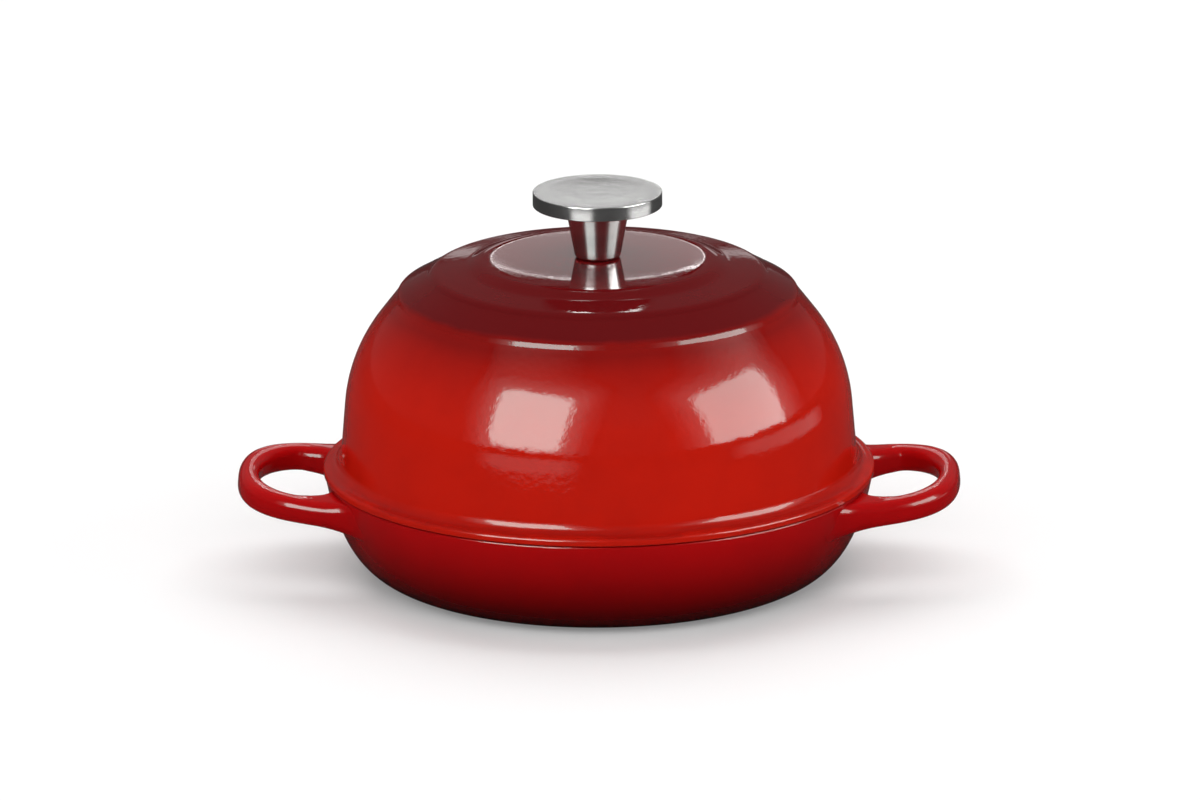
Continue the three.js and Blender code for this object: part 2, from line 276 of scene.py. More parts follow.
def draw_arc(start, before, after, reach):
    """Spins the selected point round a corner that begins and ends the given reach from it."""
    turn = before.angle(after)
    left = 1 if before.x * after.y > before.y * after.x else -1
    radius = reach / math.tan(turn / 2)
    centre = start + Vector((-before.y, before.x)) * left * radius
    steps = max(2, math.ceil(math.degrees(turn) / arc_step), math.ceil(radius * turn / profile_step))
    bpy.ops.mesh.spin(steps=steps, angle=turn, center=(centre.x, 0, centre.y), axis=(0, left, 0))


def arc_reaches(points, rounds):
    """How far from each corner its arc begins, shared out where two arcs meet on a short side."""
    share_for_arcs = 0.98
    tiny = 1e-9
    wanted = [0.0] * len(points)
    for i in range(1, len(points) - 1):
        before = points[i] - points[i - 1]
        after = points[i + 1] - points[i]
        wanted[i] = rounds[i] * math.tan(before.angle(after) / 2)
    shares = []
    for i in range(len(points) - 1):
        side = (points[i + 1] - points[i]).length
        shares.append(min(1, share_for_arcs * side / max(wanted[i] + wanted[i + 1], tiny)))
    reaches = list(wanted)
    for i in range(1, len(points) - 1):
        reaches[i] = wanted[i] * min(shares[i - 1], shares[i])
    return reaches


def draw_profile(name, corners):
    """Draws a profile in the XZ plane from corners of radius, height and, where it is round, rounding."""
    points = [Vector(corner[:2]) for corner in corners]
    rounds = [corner[2] if len(corner) > 2 else 0 for corner in corners]
    reaches = arc_reaches(points, rounds)
    piece = new_point(name, (points[0].x, 0, points[0].y))
    here = points[0]
    for i in range(1, len(points)):
        before = (points[i] - points[i - 1]).normalized()
        arc_start = points[i] - before * reaches[i]
        draw_line(here, arc_start)
        here = arc_start
        if reaches[i] > 0:
            after = (points[i + 1] - points[i]).normalized()
            draw_arc(arc_start, before, after, reaches[i])
            here = points[i] + after * reaches[i]
    return piece


def close_shell(piece):
    """Merges the seams of a piece that is open for editing, turns its faces outwards and smooths it."""
    bpy.ops.mesh.select_all(action="SELECT")
    bpy.ops.mesh.remove_doubles(threshold=weld_gap)
    bpy.ops.mesh.normals_make_consistent(inside=False)
    bpy.ops.object.mode_set(mode="OBJECT")
    smooth_shell(piece)


def smooth_shell(piece):
    """Smooths a piece between its sharp edges, and stops the script if it has an open or doubled edge."""
    bpy.ops.object.shade_smooth_by_angle(angle=math.radians(sharp_angle))
    mesh = bmesh.new()
    mesh.from_mesh(piece.data)
    faulty = sum(1 for edge in mesh.edges if not edge.is_manifold)
    mesh.free()
    if faulty:
        raise RuntimeError(f"{piece.name} has {faulty} edges that aren't closed")


def turn_piece(name, corners, steps, finish):
    """A finished piece: a profile drawn from its corners and spun once round the vertical axis."""
    piece = draw_profile(name, corners)
    bpy.ops.mesh.select_all(action="SELECT")
    bpy.ops.mesh.spin(steps=steps, angle=math.tau, center=(0, 0, 0), axis=(0, 0, 1))
    close_shell(piece)
    piece.data.materials.append(find_finish(finish))
    return piece


def turn_chosen(radians, axis, centre):
    """Turns what is selected by the right-hand rule, which without a window is the operator's other way."""
    bpy.ops.transform.rotate(value=-radians, orient_axis=axis, center_override=centre)


# Selecting by place

def choose(piece, kind, test):
    """Selects the points, edges or faces that pass a test, in a piece that is open for editing."""
    bpy.ops.mesh.select_mode(type=kind)
    bpy.ops.mesh.select_all(action="DESELECT")
    mesh = bmesh.from_edit_mesh(piece.data)
    parts = {"VERT": mesh.verts, "EDGE": mesh.edges, "FACE": mesh.faces}
    for part in parts[kind]:
        part.select_set(test(part))
    mesh.select_flush_mode()
    bmesh.update_edit_mesh(piece.data)


def blacken_inside(piece, sizes, is_inside):
    """Gives the matt black enamel to the faces of a casting that a test of their middle and normal picks."""
    piece.data.materials.append(find_finish("Matt black enamel"))
    piece.active_material_index = len(piece.data.materials) - 1
    bpy.ops.object.mode_set(mode="EDIT")
    choose(piece, "FACE", lambda face: is_inside(sizes, face.calc_center_median(), face.normal))
    bpy.ops.object.material_slot_assign()
    bpy.ops.object.mode_set(mode="OBJECT")


def outward(middle, normal):
    """How far a face looks away from the vertical axis, from -1 to 1."""
    away = Vector((middle.x, middle.y, 0))
    if away.length < weld_gap:
        return 0
    return normal.dot(away.normalized())


# Node groups that the finishes share

def new_group(name, inputs, outputs):
    """An empty shader node group with named number or vector sockets."""
    group = bpy.data.node_groups.new(name, "ShaderNodeTree")
    for socket, kind, default in inputs:
        made = group.interface.new_socket(name=socket, in_out="INPUT", socket_type=kind)
        if default is not None:
            made.default_value = default
    for socket in outputs:
        group.interface.new_socket(name=socket, in_out="OUTPUT", socket_type="NodeSocketFloat")
    return group, group.nodes.new("NodeGroupInput"), group.nodes.new("NodeGroupOutput")


def feed(tree, socket, value):
    """Gives an input a link from another socket, a colour of three parts or a number."""
    if isinstance(value, bpy.types.NodeSocket):
        tree.links.new(value, socket)
    elif isinstance(value, tuple):
        socket.default_value = (*value, 1)
    else:
        socket.default_value = value


def add_math(tree, operation, first, second=0.0, clamp=False):
    """A math node on sockets or numbers."""
    node = tree.nodes.new("ShaderNodeMath")
    node.operation = operation
    node.use_clamp = clamp
    feed(tree, node.inputs[0], first)
    feed(tree, node.inputs[1], second)
    return node.outputs[0]


def add_noise(tree, vector, scale, detail, roughness):
    """A noise texture, whose scale is a number or a socket."""
    node = tree.nodes.new("ShaderNodeTexNoise")
    tree.links.new(vector, node.inputs["Vector"])
    feed(tree, node.inputs["Scale"], scale)
    node.inputs["Detail"].default_value = detail
    node.inputs["Roughness"].default_value = roughness
    return node.outputs["Fac"]


def add_range(tree, value, low, high, to_low=0.0, to_high=1.0):
    """A smooth map of a value from one range to another."""
    node = tree.nodes.new("ShaderNodeMapRange")
    node.interpolation_type = "SMOOTHSTEP"
    tree.links.new(value, node.inputs["Value"])
    node.inputs["From Min"].default_value = low
    node.inputs["From Max"].default_value = high
    node.inputs["To Min"].default_value = to_low
    node.inputs["To Max"].default_value = to_high
    return node.outputs["Result"]


def make_glaze_group():
    """Fired enamel: slow ripples, fine orange peel, patchy gloss and a few sunken specks."""
    group, given, made = new_group(
        "Fired glaze",
        [
            ("Vector", "NodeSocketVector", None),
            ("Ripple Scale", "NodeSocketFloat", 45.0),
            ("Peel Scale", "NodeSocketFloat", 330.0),
            ("Peel Share", "NodeSocketFloat", 0.55),
        ],
        ["Height", "Gloss Loss"],
    )
    speck_depth = 0.15
    vector = given.outputs["Vector"]
    ripple = add_noise(group, vector, given.outputs["Ripple Scale"], detail=1.0, roughness=0.4)
    peel = add_noise(group, vector, given.outputs["Peel Scale"], detail=2.0, roughness=0.5)
    peel_part = add_math(group, "MULTIPLY", peel, given.outputs["Peel Share"])
    waves = add_math(group, "ADD", ripple, peel_part)
    patches = add_noise(group, vector, scale=28.0, detail=3.0, roughness=0.55)
    speck_noise = add_noise(group, vector, scale=310.0, detail=0.0, roughness=0.5)
    speck = add_range(group, speck_noise, low=0.8, high=0.86)
    sunk = add_math(group, "MULTIPLY", speck, speck_depth)
    height = add_math(group, "SUBTRACT", waves, sunk)
    group.links.new(height, made.inputs["Height"])
    group.links.new(add_range(group, patches, low=0.35, high=0.7), made.inputs["Gloss Loss"])
    return group


def make_shade_group():
    """How far up a piece a point lies, from 0 at Foot to 1 at Top with a drifting edge, to fade in painted
    shade.
    """
    group, given, made = new_group(
        "Fade and painted shade",
        [
            ("Vector", "NodeSocketVector", None),
            ("Foot", "NodeSocketFloat", 0.0),
            ("Top", "NodeSocketFloat", 0.1),
            ("Drift", "NodeSocketFloat", 0.004),
        ],
        ["Rise"],
    )
    noise_middle = 0.5
    apart = group.nodes.new("ShaderNodeSeparateXYZ")
    group.links.new(given.outputs["Vector"], apart.inputs[0])
    cloud = add_noise(group, given.outputs["Vector"], scale=22.0, detail=3.0, roughness=0.6)
    level = add_math(group, "SUBTRACT", cloud, noise_middle)
    shift = add_math(group, "MULTIPLY", level, given.outputs["Drift"])
    height = add_math(group, "ADD", apart.outputs["Z"], shift)
    above = add_math(group, "SUBTRACT", height, given.outputs["Foot"])
    whole = add_math(group, "SUBTRACT", given.outputs["Top"], given.outputs["Foot"])
    group.links.new(add_math(group, "DIVIDE", above, whole, clamp=True), made.inputs["Rise"])
    return group


def make_turning_group():
    """Tool marks of turned metal: fine rings round the vertical axis, broken by short scratches."""
    group, given, made = new_group(
        "Turning marks",
        [
            ("Vector", "NodeSocketVector", None),
            ("Ring Scale", "NodeSocketFloat", 5200.0),
            ("Band Scale", "NodeSocketFloat", 260.0),
        ],
        ["Height", "Gloss Loss", "Tint"],
    )
    change_round_axis = 0.002
    apart = group.nodes.new("ShaderNodeSeparateXYZ")
    group.links.new(given.outputs["Vector"], apart.inputs[0])
    across = add_math(group, "MULTIPLY", apart.outputs["X"], apart.outputs["X"])
    along = add_math(group, "MULTIPLY", apart.outputs["Y"], apart.outputs["Y"])
    squares = add_math(group, "ADD", across, along)
    radius = add_math(group, "SQRT", squares)
    round_way = add_math(group, "ARCTAN2", apart.outputs["Y"], apart.outputs["X"])
    slow_way = add_math(group, "MULTIPLY", round_way, change_round_axis)
    joined = group.nodes.new("ShaderNodeCombineXYZ")
    group.links.new(radius, joined.inputs["X"])
    group.links.new(slow_way, joined.inputs["Y"])
    group.links.new(apart.outputs["Z"], joined.inputs["Z"])
    rings = add_noise(group, joined.outputs[0], given.outputs["Ring Scale"], detail=3.0, roughness=0.7)
    bands = add_noise(group, joined.outputs[0], given.outputs["Band Scale"], detail=2.0, roughness=0.5)
    group.links.new(rings, made.inputs["Height"])
    group.links.new(add_range(group, rings, low=0.3, high=0.7), made.inputs["Gloss Loss"])
    group.links.new(add_range(group, bands, low=0.3, high=0.7), made.inputs["Tint"])
    return group


# Finishes

def new_finish(name):
    """A new material with its principled shader and the object's own coordinates."""
    material = bpy.data.materials.new(name)
    material.use_nodes = True
    tree = material.node_tree
    shader = tree.nodes["Principled BSDF"]
    place = tree.nodes.new("ShaderNodeTexCoord")
    return material, tree, shader, place.outputs["Object"]


def add_group(tree, group, vector, **values):
    """Places a shared node group in a material and sets its values."""
    node = tree.nodes.new("ShaderNodeGroup")
    node.node_tree = group
    tree.links.new(vector, node.inputs["Vector"])
    for socket, value in values.items():
        node.inputs[socket.replace("_", " ").title()].default_value = value
    return node.outputs


def add_mix(tree, share, first, second):
    """A mix of two colours, each a socket or three parts."""
    node = tree.nodes.new("ShaderNodeMix")
    node.data_type = "RGBA"
    factor, first_colour, second_colour = node.inputs[0], node.inputs[6], node.inputs[7]
    mixed = node.outputs[2]
    tree.links.new(share, factor)
    feed(tree, first_colour, first)
    feed(tree, second_colour, second)
    return mixed


def add_ramp(tree, value, stops):
    """A colour ramp from stops of place and colour."""
    node = tree.nodes.new("ShaderNodeValToRGB")
    ramp = node.color_ramp
    while len(ramp.elements) < len(stops):
        ramp.elements.new(0.5)
    for element, (place, shade) in zip(ramp.elements, stops):
        element.position = place
        element.color = (*shade, 1)
    tree.links.new(value, node.inputs["Fac"])
    return node.outputs["Color"]


def add_bump(tree, shader, height, strength, distance):
    """A bump node between a height and the shader's normal."""
    node = tree.nodes.new("ShaderNodeBump")
    node.inputs["Strength"].default_value = strength
    node.inputs["Distance"].default_value = distance
    tree.links.new(height, node.inputs["Height"])
    tree.links.new(node.outputs["Normal"], shader.inputs["Normal"])


def add_gloss(tree, shader, surface, best, worst):
    """Roughness from a finish's best gloss to its worst, by the loss that a shared group puts out."""
    rough = add_range(tree, surface["Gloss Loss"], 0.0, 1.0, best, worst)
    tree.links.new(rough, shader.inputs["Roughness"])


def fade_stops(first, second, steps):
    """Ramp stops from one colour to another, from steps of place and share of the second colour."""
    stops = []
    for place, share in steps:
        stops.append((place, tuple(a + (b - a) * share for a, b in zip(first, second))))
    return stops


def make_red_enamel(name, glaze, fade, foot, top, stops, level_from=None):
    """Gloss red enamel, faded up the piece with painted shade in its colour, and settled smooth above
    level_from where that is given.
    """
    cloud_share = 0.1
    cloud_red = (0.09, 0.0, 0.002)
    level_blend = 0.03
    level_waves = 0.12
    _, tree, shader, place = new_finish(name)
    surface = add_group(tree, glaze, place)
    rise = add_group(tree, fade, place, foot=foot, top=top)["Rise"]
    # The ramp's colour up the piece holds painted shade
    fade_and_shade_colour = add_ramp(tree, rise, stops)
    clouds = add_math(tree, "MULTIPLY", surface["Gloss Loss"], cloud_share)
    tree.links.new(add_mix(tree, clouds, fade_and_shade_colour, cloud_red), shader.inputs["Base Color"])
    add_gloss(tree, shader, surface, best=0.03, worst=0.06)
    shader.inputs["Specular IOR Level"].default_value = 0.25
    shader.inputs["Specular Tint"].default_value = (0.7, 1.0, 0.95, 1)
    height = surface["Height"]
    if level_from is not None:
        settled = add_range(tree, rise, level_from, level_from + level_blend, 1.0, level_waves)
        height = add_math(tree, "MULTIPLY", height, settled)
    add_bump(tree, shader, height, strength=0.25, distance=0.0004)


def make_black_enamel(black, glaze):
    """Matt black enamel of the cooking surfaces, with a pebbled skin."""
    lightening = 2.4
    _, tree, shader, place = new_finish("Matt black enamel")
    surface = add_group(tree, glaze, place, ripple_scale=160.0, peel_scale=900.0, peel_share=0.9)
    lighter = tuple(min(1, lightening * part) for part in black)
    tree.links.new(add_mix(tree, surface["Gloss Loss"], black, lighter), shader.inputs["Base Color"])
    add_gloss(tree, shader, surface, best=0.42, worst=0.58)
    add_bump(tree, shader, surface["Height"], strength=0.35, distance=0.0006)


def make_steel(name, metal, marks, best, worst, strength):
    """Turned metal with rings of tool marks, from its best gloss to its worst."""
    darkening = 0.86
    _, tree, shader, place = new_finish(name)
    surface = add_group(tree, marks, place)
    darker = tuple(darkening * part for part in metal)
    tree.links.new(add_mix(tree, surface["Tint"], metal, darker), shader.inputs["Base Color"])
    shader.inputs["Metallic"].default_value = 1.0
    add_gloss(tree, shader, surface, best, worst)
    add_bump(tree, shader, surface["Height"], strength, distance=0.00005)


def find_finish(name):
    """A finish by name, made with the others the first time that one is asked for."""
    if name not in bpy.data.materials:
        make_finishes()
    return bpy.data.materials[name]


def make_finishes():
    """All the finishes of the oven."""
    finish = bpy.context.scene.oven_finish
    lid = bpy.context.scene.oven_lid
    pan = bpy.context.scene.oven_pan
    glaze = make_glaze_group()
    fade = make_shade_group()
    marks = make_turning_group()
    # Share of the deep red up the lid: the flange, a painted shadow in the cove, the wall, the shoulder and
    # the tiers, whose deepening is partly the enamel's own and partly painted shade
    lid_stops = fade_stops(finish.bright_red, finish.deep_red_and_shade, (
        (0.0, 0.1), (0.028, 0.1), (0.036, 0.45), (0.05, 0.25), (0.08, 0.0), (0.5, 0.0),
        (0.6, 0.14), (0.73, 0.46), (0.79, 0.7), (0.835, 0.68), (0.855, 1.0),
    ))
    crown = lid.seat + lid.crown_height
    make_red_enamel("Red enamel of the lid", glaze, fade, lid.seat, crown, lid_stops, level_from=0.955)
    # Share of the rim's red up the pan: painted shade that darkens the pan towards its foot
    pan_stops = fade_stops(finish.shaded_foot_red, finish.pan_red, (
        (0.0, 0.0), (0.2, 0.15), (0.45, 0.45), (0.75, 0.8), (0.97, 1.0),
    ))
    make_red_enamel("Red enamel of the pan", glaze, fade, 0.0, pan.height, pan_stops)
    make_black_enamel(tuple(finish.inside_black), glaze)
    make_steel("Turned steel", tuple(finish.steel), marks, best=0.14, worst=0.21, strength=0.07)
    make_steel("Zinc plate", tuple(finish.zinc), marks, best=0.3, worst=0.45, strength=0.2)


def settle(piece, body, node):
    """Hands a finished piece to the frame."""
    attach(piece, body)
    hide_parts(node)


# The pan

def pan_side(sizes):
    """The pan's outer side from the foot up to the rim, as points of radius and height."""
    curve = interpolate_bezier(
        Vector((sizes.foot_radius, 0, 0)),
        Vector((sizes.foot_radius + sizes.foot_sweep, 0, sizes.foot_sweep_rise)),
        Vector((sizes.rim_radius - sizes.rim_lean, 0, sizes.height - sizes.rim_sweep)),
        Vector((sizes.rim_radius, 0, sizes.height)),
        pan_side_points,
    )
    return [Vector((point.x, point.z)) for point in curve]


def pan_inside(sizes, side):
    """The pan's inner side from the rim to the floor, one wall in from the outer side, then a fillet."""
    share_above_floor = 0.8
    half_fillet = sizes.floor_fillet / 2
    fillet_top = sizes.floor + share_above_floor * sizes.floor_fillet
    rim_edge = sizes.height - 2 * sizes.rim_round
    inside = []
    for before, point, after in zip(side, side[1:], side[2:]):
        along = (after - before).normalized()
        spot = point + Vector((-along.y, along.x)) * sizes.wall
        if fillet_top < spot.y < rim_edge:
            inside.append(spot)
    inside.reverse()
    lowest = inside[-1]
    down = (lowest - inside[-2]).normalized()
    pull = lowest + down * half_fillet
    fillet = interpolate_bezier(
        Vector((lowest.x, 0, lowest.y)),
        Vector((pull.x, 0, pull.y)),
        Vector((lowest.x - half_fillet, 0, sizes.floor)),
        Vector((lowest.x - 3 * half_fillet, 0, sizes.floor)),
        floor_fillet_points,
    )
    return inside + [Vector((point.x, point.z)) for point in fillet[1:]]


def floor_rings(sizes):
    """The raised rings on the floor, from the outermost to the smallest."""
    corners = []
    for i in reversed(range(sizes.ring_count)):
        middle = sizes.ring_first + i * sizes.ring_pitch
        top = sizes.floor + sizes.ring_height
        corners.append((middle + sizes.ring_width / 2, sizes.floor, sizes.ring_height))
        corners.append((middle + sizes.ring_land / 2, top, sizes.ring_height))
        corners.append((middle - sizes.ring_land / 2, top, sizes.ring_height))
        corners.append((middle - sizes.ring_width / 2, sizes.floor, sizes.ring_height))
    return corners


def make_pan_casting(sizes):
    """The pan without its handles, turned from one profile."""
    side = pan_side(sizes)
    ring_inside = sizes.foot_radius - sizes.foot_ring
    corners = [
        (0, sizes.foot_recess),
        (ring_inside - sizes.foot_recess, sizes.foot_recess, sizes.foot_recess),
        (ring_inside, 0, sizes.foot_recess),
        *[tuple(point) for point in side[:-1]],
        (sizes.rim_radius, sizes.height, sizes.rim_round),
        (sizes.rim_radius - sizes.wall, sizes.height, sizes.rim_round),
        *[tuple(point) for point in pan_inside(sizes, side)],
        *floor_rings(sizes),
        (0, sizes.floor),
    ]
    piece = turn_piece("pan_casting", corners, casting_steps, "Red enamel of the pan")
    blacken_inside(piece, sizes, is_pan_inside)
    return piece


def is_pan_inside(sizes, middle, normal):
    """Whether a face belongs to the pan's rim, inner side or floor."""
    looks_inward = -0.1
    looks_up = 0.9
    if middle.z < 2 * sizes.foot_recess:
        return False
    return outward(middle, normal) < looks_inward or normal.z > looks_up


def handle_line(sizes, tip, spread, corner, nose, fillet):
    """One edge of a handle in plan, from the wall along an arm, round the tip and back, as points."""
    pull_to_bend = 2 / 3
    wall = sizes.rim_radius - sizes.root_bury
    on_wall = spread + fillet
    root = Vector((math.sqrt(wall ** 2 - on_wall ** 2), -on_wall, 0))
    bend = Vector((math.sqrt(wall ** 2 - spread ** 2), -spread, 0))
    arm = bend + (corner - bend).normalized() * abs(fillet)
    end = Vector((tip, 0, 0))
    root_pull = root.lerp(bend, pull_to_bend)
    arm_pull = arm.lerp(bend, pull_to_bend)
    half = interpolate_bezier(root, root_pull, arm_pull, arm, handle_root_points)
    half += interpolate_bezier(arm, corner, Vector((tip, -nose, 0)), end, handle_arm_points)[1:]
    mirrored = [Vector((point.x, -point.y, 0)) for point in reversed(half[:-1])]
    return half + mirrored


def draw_strip(name, pairs):
    """Lays a flat strip of faces between two lines, one cross edge after another."""
    first, last = pairs[0]
    piece = new_point(name, first)
    extrude(last - first)
    bpy.ops.mesh.select_all(action="SELECT")
    for (near, far), (next_near, next_far) in zip(pairs, pairs[1:]):
        move = (next_near + next_far - near - far) / 2
        middle = (next_near + next_far) / 2
        old = far - near
        new = next_far - next_near
        turn = math.atan2(new.y, new.x) - math.atan2(old.y, old.x)
        grow = new.length / old.length
        extrude(move)
        turn_chosen(turn, "Z", middle)
        bpy.ops.transform.resize(value=(grow, grow, grow), center_override=middle)
    return piece


def shape_roots(piece, sizes, pairs):
    """Swells a handle where its arms run into the wall and leans its underside with the wall."""
    half = sizes.handle_thickness / 2
    for near, far in pairs:
        middle = (near + far) / 2
        gap = middle.length - sizes.rim_radius + sizes.root_bury
        share = min(1, 1 - gap / sizes.root_reach)
        if share <= 0:
            continue
        ease = share ** 2
        inward = -middle.normalized() * sizes.root_lean * ease
        choose(piece, "VERT", lambda point: point.co.z < half and is_one_of(point.co, (near, far)))
        bpy.ops.transform.translate(value=(inward.x, inward.y, -sizes.root_swell * ease))
        choose(piece, "VERT", lambda point: point.co.z > half and is_one_of(point.co, (near, far)))
        bpy.ops.transform.translate(value=(0, 0, sizes.root_swell * ease / 2))


def is_one_of(spot, places):
    """Whether a point lies over one of some places in plan."""
    return any(math.hypot(spot.x - place.x, spot.y - place.y) < same_place for place in places)


def is_long_edge(edge, shortest_cross):
    """Whether an edge of a handle's bar runs along it between a flat face and a side."""
    side_tilt = 0.5
    flat_tilt = 0.6
    if len(edge.link_faces) != 2 or edge.calc_length() > shortest_cross:
        return False
    steeper, flatter = sorted(abs(face.normal.z) for face in edge.link_faces)
    return steeper < side_tilt and flatter > flat_tilt


def make_handle(sizes):
    """The right handle: a strip in plan, given its height, rounded along its edges and tilted."""
    tip = sizes.rim_radius + sizes.handle_reach
    shortest_cross = 0.9 * sizes.handle_tip_bar
    hole_tip = tip - sizes.handle_tip_bar
    corner = Vector((tip - sizes.handle_shoulder, sizes.handle_taper - sizes.handle_spread, 0))
    hole_corner = Vector((hole_tip - sizes.hole_shoulder, -sizes.hole_spread, 0))
    outer = handle_line(sizes, tip, sizes.handle_spread, corner, sizes.handle_nose, sizes.handle_fillet)
    inner = handle_line(sizes, hole_tip, sizes.hole_spread, hole_corner, sizes.hole_nose, -sizes.hole_fillet)
    pairs = list(zip(outer, inner))
    piece = draw_strip("handle_right", pairs)
    bpy.ops.mesh.select_all(action="SELECT")
    extrude((0, 0, sizes.handle_thickness))
    bpy.ops.mesh.select_all(action="SELECT")
    bpy.ops.mesh.normals_make_consistent(inside=False)
    shape_roots(piece, sizes, pairs)
    choose(piece, "EDGE", lambda edge: is_long_edge(edge, shortest_cross))
    bpy.ops.mesh.bevel(offset=sizes.handle_round, segments=handle_round_steps, profile=0.5, affect="EDGES")
    bpy.ops.mesh.select_all(action="SELECT")
    tip_middle = sizes.height - sizes.handle_tip_drop
    bpy.ops.transform.translate(value=(0, 0, tip_middle - sizes.handle_thickness / 2))
    turn_chosen(-sizes.handle_tilt, "Y", (tip, 0, tip_middle))
    close_shell(piece)
    piece.data.materials.append(find_finish("Red enamel of the pan"))
    return piece


def copy_handle(right):
    """The left handle: a copy of the right one, turned half round the pan's axis."""
    bpy.ops.object.select_all(action="DESELECT")
    right.select_set(True)
    bpy.context.view_layer.objects.active = right
    bpy.ops.object.duplicate(linked=False)
    left = bpy.context.object
    left.name = "handle_left"
    left.data.name = "handle_left"
    bpy.ops.object.mode_set(mode="EDIT")
    bpy.ops.mesh.select_all(action="SELECT")
    turn_chosen(math.pi, "Z", (0, 0, 0))
    bpy.ops.object.mode_set(mode="OBJECT")
    return left


class OVEN_OT_pan(bpy.types.Operator):
    """Models the pan's casting"""

    bl_idname = "oven.pan"
    bl_label = "Pan"

    def execute(self, context):
        settle(make_pan_casting(context.scene.oven_pan), "pan", "base_pan")
        return {"FINISHED"}


class OVEN_OT_handles(bpy.types.Operator):
    """Models one loop handle and copies it to the other side"""

    bl_idname = "oven.handles"
    bl_label = "Handles"

    def execute(self, context):
        right = make_handle(context.scene.oven_pan)
        left = copy_handle(right)
        settle(right, "pan", "base_pan")
        settle(left, "pan", "base_pan")
        return {"FINISHED"}


# The lid

def lid_shoulder(sizes):
    """The corner where the straight wall and the shoulder would meet."""
    foot = sizes.flange_radius - sizes.flange_width
    lean = math.tan(sizes.draft) * (sizes.shoulder_height - sizes.flange_thickness)
    return Vector((foot - lean, sizes.shoulder_height))


def lid_outside(sizes):
    """Corners of the lid's outside, from the bolt hole to the seat, above the seat."""
    crown_foot = sizes.crown_height - sizes.crown_drop
    middle = crown_foot - sizes.middle_fall
    middle_foot = middle - sizes.middle_drop
    outer = middle_foot - sizes.outer_fall
    shoulder = lid_shoulder(sizes)
    crown_reach = sizes.crown_radius - sizes.crown_round / 2 - sizes.bolt_hole
    corners = []
    for i in range(crown_points):
        radius = sizes.bolt_hole + crown_reach * i / crown_points
        corners.append((radius, sizes.crown_height - sizes.crown_fall * (radius / sizes.crown_radius) ** 2))
    return corners + [
        (sizes.crown_radius, sizes.crown_height - sizes.crown_fall, sizes.crown_round),
        (sizes.crown_foot, crown_foot, sizes.crown_foot_round),
        (sizes.middle_radius, middle, sizes.middle_round),
        (sizes.middle_foot, middle_foot, sizes.middle_drop / 2),
        (sizes.outer_radius, outer, sizes.outer_round),
        (sizes.outer_foot, outer - sizes.outer_drop, sizes.outer_drop),
        (shoulder.x, shoulder.y, sizes.shoulder_radius),
        (sizes.flange_radius - sizes.flange_width, sizes.flange_thickness, sizes.cove),
        (sizes.flange_radius, sizes.flange_thickness, sizes.flange_round),
        (sizes.flange_radius, 0, sizes.flange_round / 2),
    ]


def lid_inside(sizes):
    """Corners of the lid's inside, from the locating lip up to the bolt hole, above the seat."""
    lip_foot = sizes.flange_radius - sizes.flange_width
    lip_foot += math.tan(sizes.draft) * (sizes.flange_thickness + sizes.lip_depth)
    middle = sizes.crown_height - sizes.crown_drop - sizes.middle_fall
    outer = middle - sizes.middle_drop - sizes.outer_fall
    forms = [
        Vector((sizes.bolt_hole, sizes.crown_height)),
        Vector((sizes.crown_radius, sizes.crown_height)),
        Vector((sizes.middle_radius, middle)),
        Vector((sizes.outer_radius, outer)),
        lid_shoulder(sizes),
        Vector((lip_foot, -sizes.lip_depth)),
    ]
    inside = line_beside(forms, sizes.wall)
    bend = sizes.shoulder_radius - sizes.wall
    return [(point.x, point.y, bend) for point in reversed(inside)]


def line_beside(points, gap):
    """A line of corners at a fixed gap to the right of another."""
    moved = []
    for i, point in enumerate(points):
        before = (points[max(i, 1)] - points[max(i, 1) - 1]).normalized()
        last = len(points) - 1
        after = (points[min(i + 1, last)] - points[min(i + 1, last) - 1]).normalized()
        side_before = Vector((before.y, -before.x))
        side_after = Vector((after.y, -after.x))
        middle = (side_before + side_after).normalized()
        moved.append(point + middle * gap / middle.dot(side_after))
    moved[0].x = points[0].x
    moved[-1].y = points[-1].y
    return moved


def is_lid_inside(sizes, middle, normal):
    """Whether a face belongs to the lid's seat, lip, inner side or bolt hole."""
    looks_inward = -0.05
    looks_down = -0.4
    if outward(middle, normal) < looks_inward or middle.z < sizes.seat:
        return True
    radius = math.hypot(middle.x, middle.y)
    return normal.z < looks_down and radius < sizes.flange_radius - sizes.flange_round


def make_lid_casting(sizes):
    """The lid, turned from one closed profile."""
    corners = lid_outside(sizes)
    corners.append((sizes.lip_radius, 0))
    corners.append((sizes.lip_radius - sizes.lip_taper, -sizes.lip_depth))
    corners += lid_inside(sizes)
    corners.append(corners[0])
    placed = [(corner[0], corner[1] + sizes.seat, *corner[2:]) for corner in corners]
    piece = turn_piece("lid_casting", placed, casting_steps, "Red enamel of the lid")
    blacken_inside(piece, sizes, is_lid_inside)
    return piece


class OVEN_OT_lid(bpy.types.Operator):
    """Models the lid's casting"""

    bl_idname = "oven.lid"
    bl_label = "Lid"

    def execute(self, context):
        settle(make_lid_casting(context.scene.oven_lid), "lid", "dome_lid")
        return {"FINISHED"}


# The knob, its screw and its washer

def make_stem(sizes):
    """The knob's tapered stem, with the screw's hole below and a spigot above."""
    foot = stem_low.z
    top = stem_high.z - sizes.spigot_height
    return turn_piece("stem_turning", [
        (0, foot + sizes.thread_depth),
        (sizes.thread_radius, foot + sizes.thread_depth),
        (sizes.thread_radius, foot),
        (sizes.stem_foot, foot, sizes.stem_round),
        (stem_high.x, top, sizes.cap_chamfer / 2),
        (sizes.spigot, top),
        (sizes.spigot, stem_high.z),
        (0, stem_high.z),
    ], stem_steps, "Turned steel")


